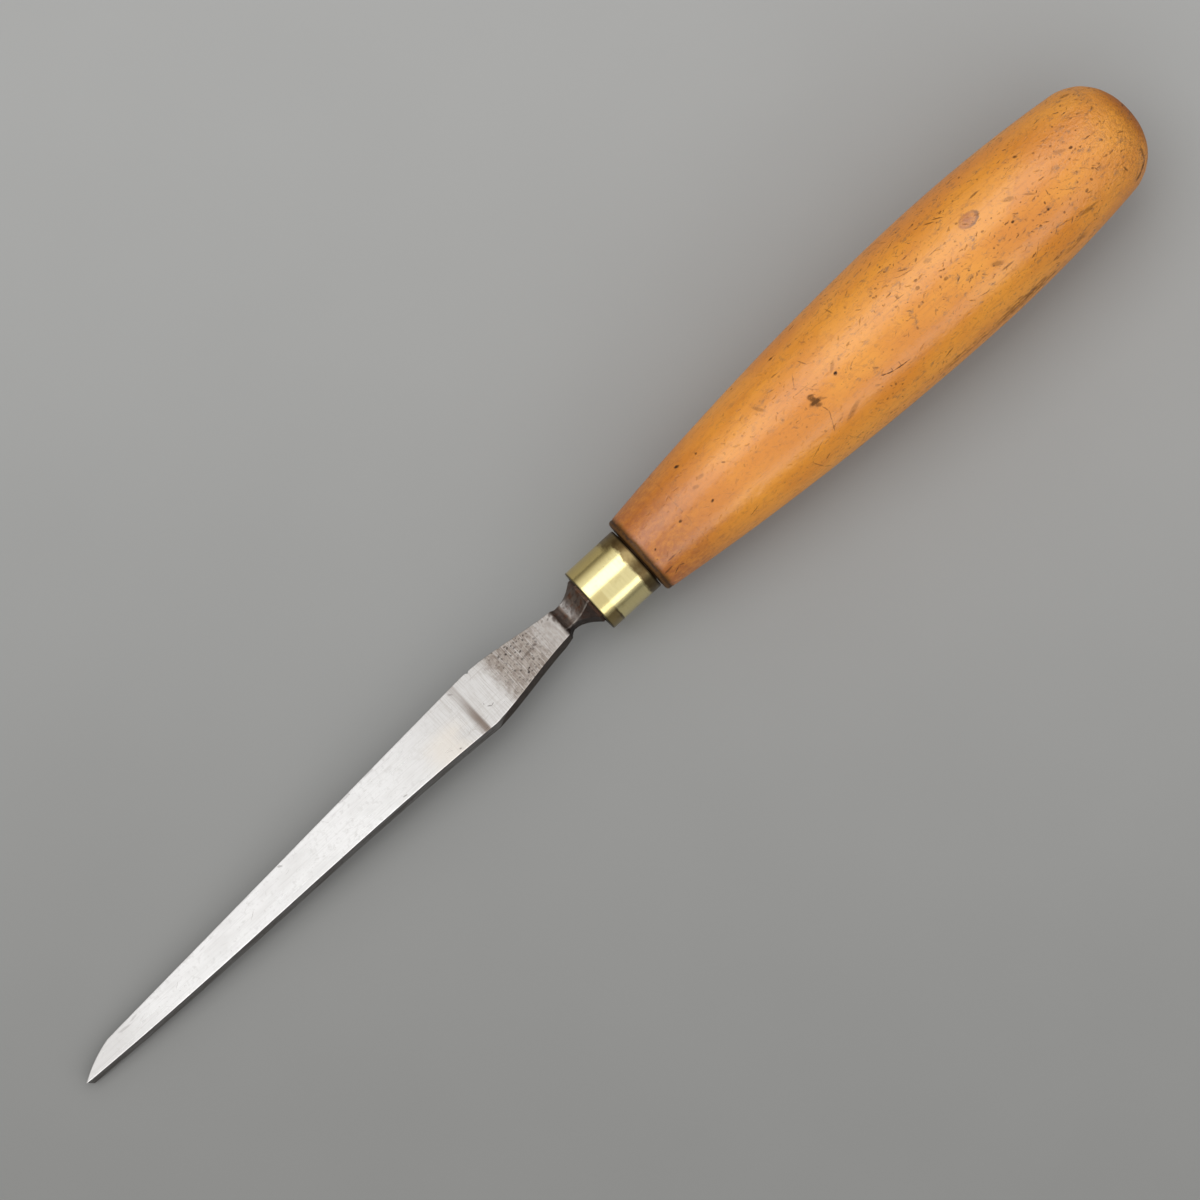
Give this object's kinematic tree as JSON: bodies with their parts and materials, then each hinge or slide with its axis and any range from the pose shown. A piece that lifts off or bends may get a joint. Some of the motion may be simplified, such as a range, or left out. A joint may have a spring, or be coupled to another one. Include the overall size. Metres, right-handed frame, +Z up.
{
  "type": "flat carving chisel",
  "caption": "Wood carver's flat chisel: tapered steel blade with a curved skew point, flared bolster and hidden tang, brass ferrule and turned boxwood handle.",
  "frame": {"origin": "bottom centre of the bounding box of the tool lying on a bench, so Z = 0 is the bench top", "axes": "+X along the tool from the blade's point to the butt of the handle, +Z up from the bench, the blade's point on the -Y side. The tool lies as pictured: its axis rises 3.9 degrees towards +X, because the blade's end and the handle's belly both touch the bench, and it is rolled 20 degrees, so that the blade's polished face looks up and leans to +Y"},
  "size_m": [0.2372, 0.025, 0.0265],
  "materials": {
    "forged_steel": "ground and polished on the face, brown patina at the neck and bolster",
    "brass": "polished, tarnished at the rear edge",
    "boxwood": "worn satin polish with dents and dark flecks"
  },
  "bodies": {
    "root": {"blade": "forged_steel", "ferrule": "brass", "handle": "boxwood"}
  },
  "joints": []
}
